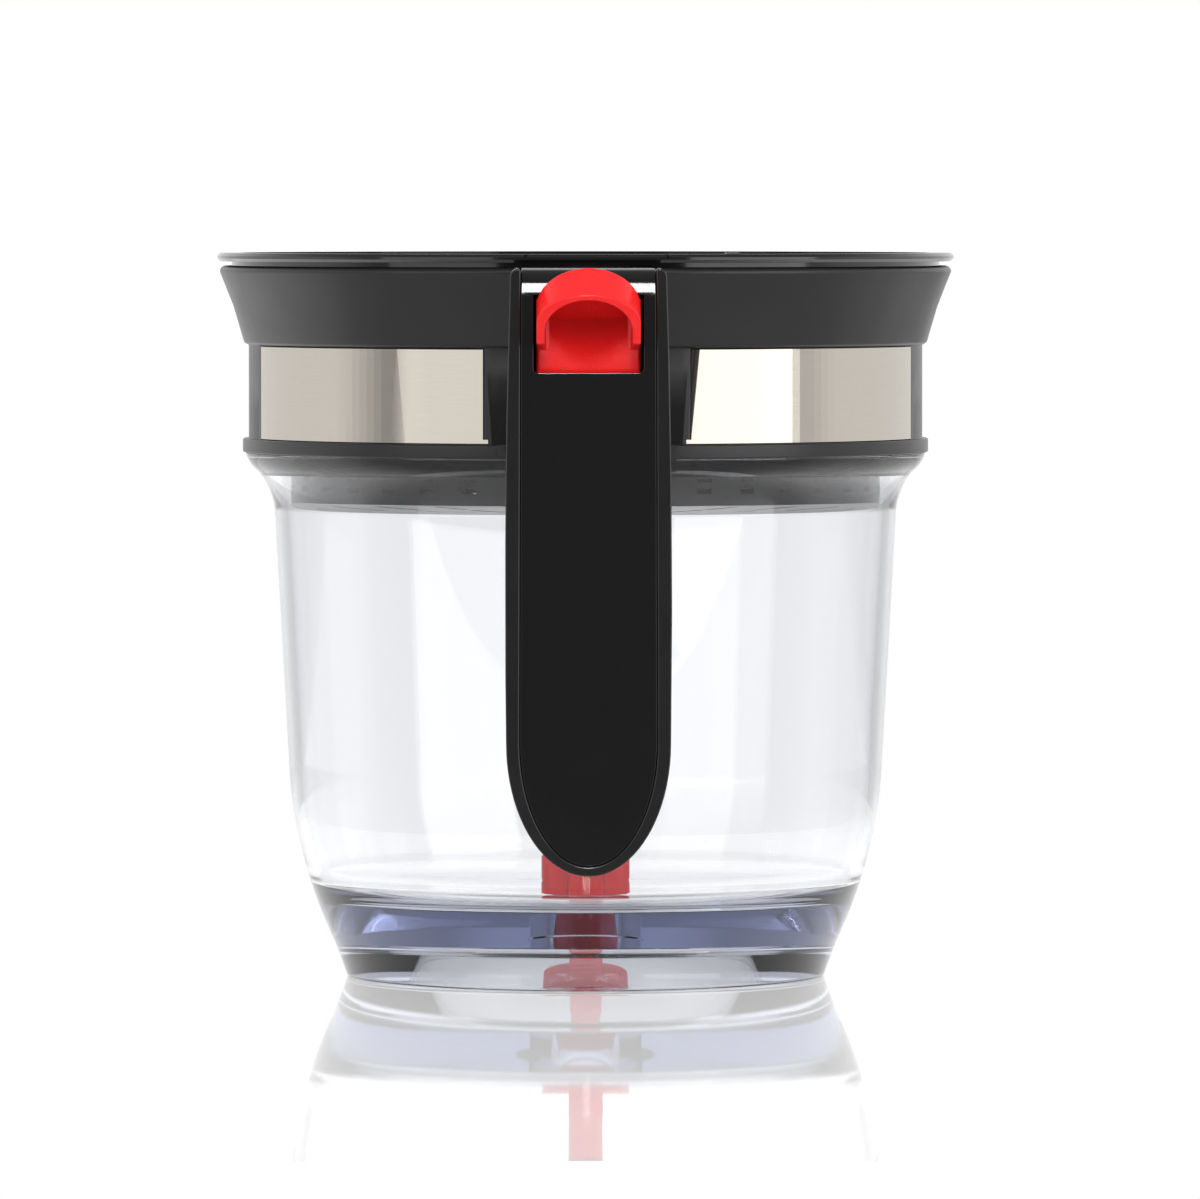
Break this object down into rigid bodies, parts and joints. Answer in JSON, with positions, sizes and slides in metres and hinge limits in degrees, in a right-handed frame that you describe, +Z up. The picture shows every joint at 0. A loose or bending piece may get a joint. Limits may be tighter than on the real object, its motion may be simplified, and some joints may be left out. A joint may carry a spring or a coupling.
{
  "type": "gravy fat separator",
  "caption": "Clear jug with a black collar, handle and trigger, a lift-off strainer lid and a plug valve in the floor that drains gravy from under the fat.",
  "frame": {"origin": "axis of the cup, on the table that the foot ring stands on", "axes": "+Z up along the cup's axis; -Y towards the handle; +X to the right when the handle faces the viewer"},
  "size_m": [0.15, 0.2024, 0.1477],
  "materials": {
    "clear_plastic": "clear, polished",
    "black_satin": "satin black moulding",
    "black_gloss": "polished black moulding",
    "satin_steel": "satin stainless sheet",
    "steel": "bright stainless",
    "red_plastic": "satin red moulding",
    "red_silicone": "matt red silicone",
    "clear_silicone": "translucent silicone"
  },
  "bodies": {
    "jug": {"cup": "clear_plastic", "collar": "black_satin", "collar_gasket": "clear_silicone", "steel_panel_left": "satin_steel", "steel_panel_right": "satin_steel", "steel_panel_front_left": "satin_steel", "steel_panel_front_right": "satin_steel", "handle_frame": "black_satin", "handle_panel": "black_satin", "handle_screws": "steel", "trigger_pin": "steel", "trigger_spring": "steel"},
    "trigger": {"trigger": "red_plastic"},
    "lid": {"lid_ring": "black_gloss", "lid_gasket": "clear_silicone", "strainer": "black_gloss", "hub_cap": "black_gloss", "valve_spring": "steel"},
    "valve": {"lifter_arm": "black_gloss", "pull_rod": "red_plastic", "valve_plug": "red_silicone"}
  },
  "joints": [
    {"name": "trigger_press", "type": "hinge", "parent": "jug", "child": "trigger", "pos_m": [0, -0.093, 0.1354], "axis": [1, 0, 0], "range_deg": [0, 10], "stiffness_Nm_per_rad": 0.6, "springref_deg": -8.59, "deforming": ["trigger_spring"]},
    {"name": "lid_lift", "type": "slide", "parent": "jug", "child": "lid", "axis": [0, 0, 1], "range_m": [0, 0.14]},
    {"name": "valve_lift", "type": "slide", "parent": "lid", "child": "valve", "axis": [0, 0, 1], "range_m": [0, 0.00508], "stiffness_N_per_m": 8, "springref_m": -0.006, "deforming": ["valve_spring"]}
  ],
  "couplings": [
    {"joint": "valve_lift", "follows": "trigger_press", "m_per_rad": 0.027964}
  ]
}
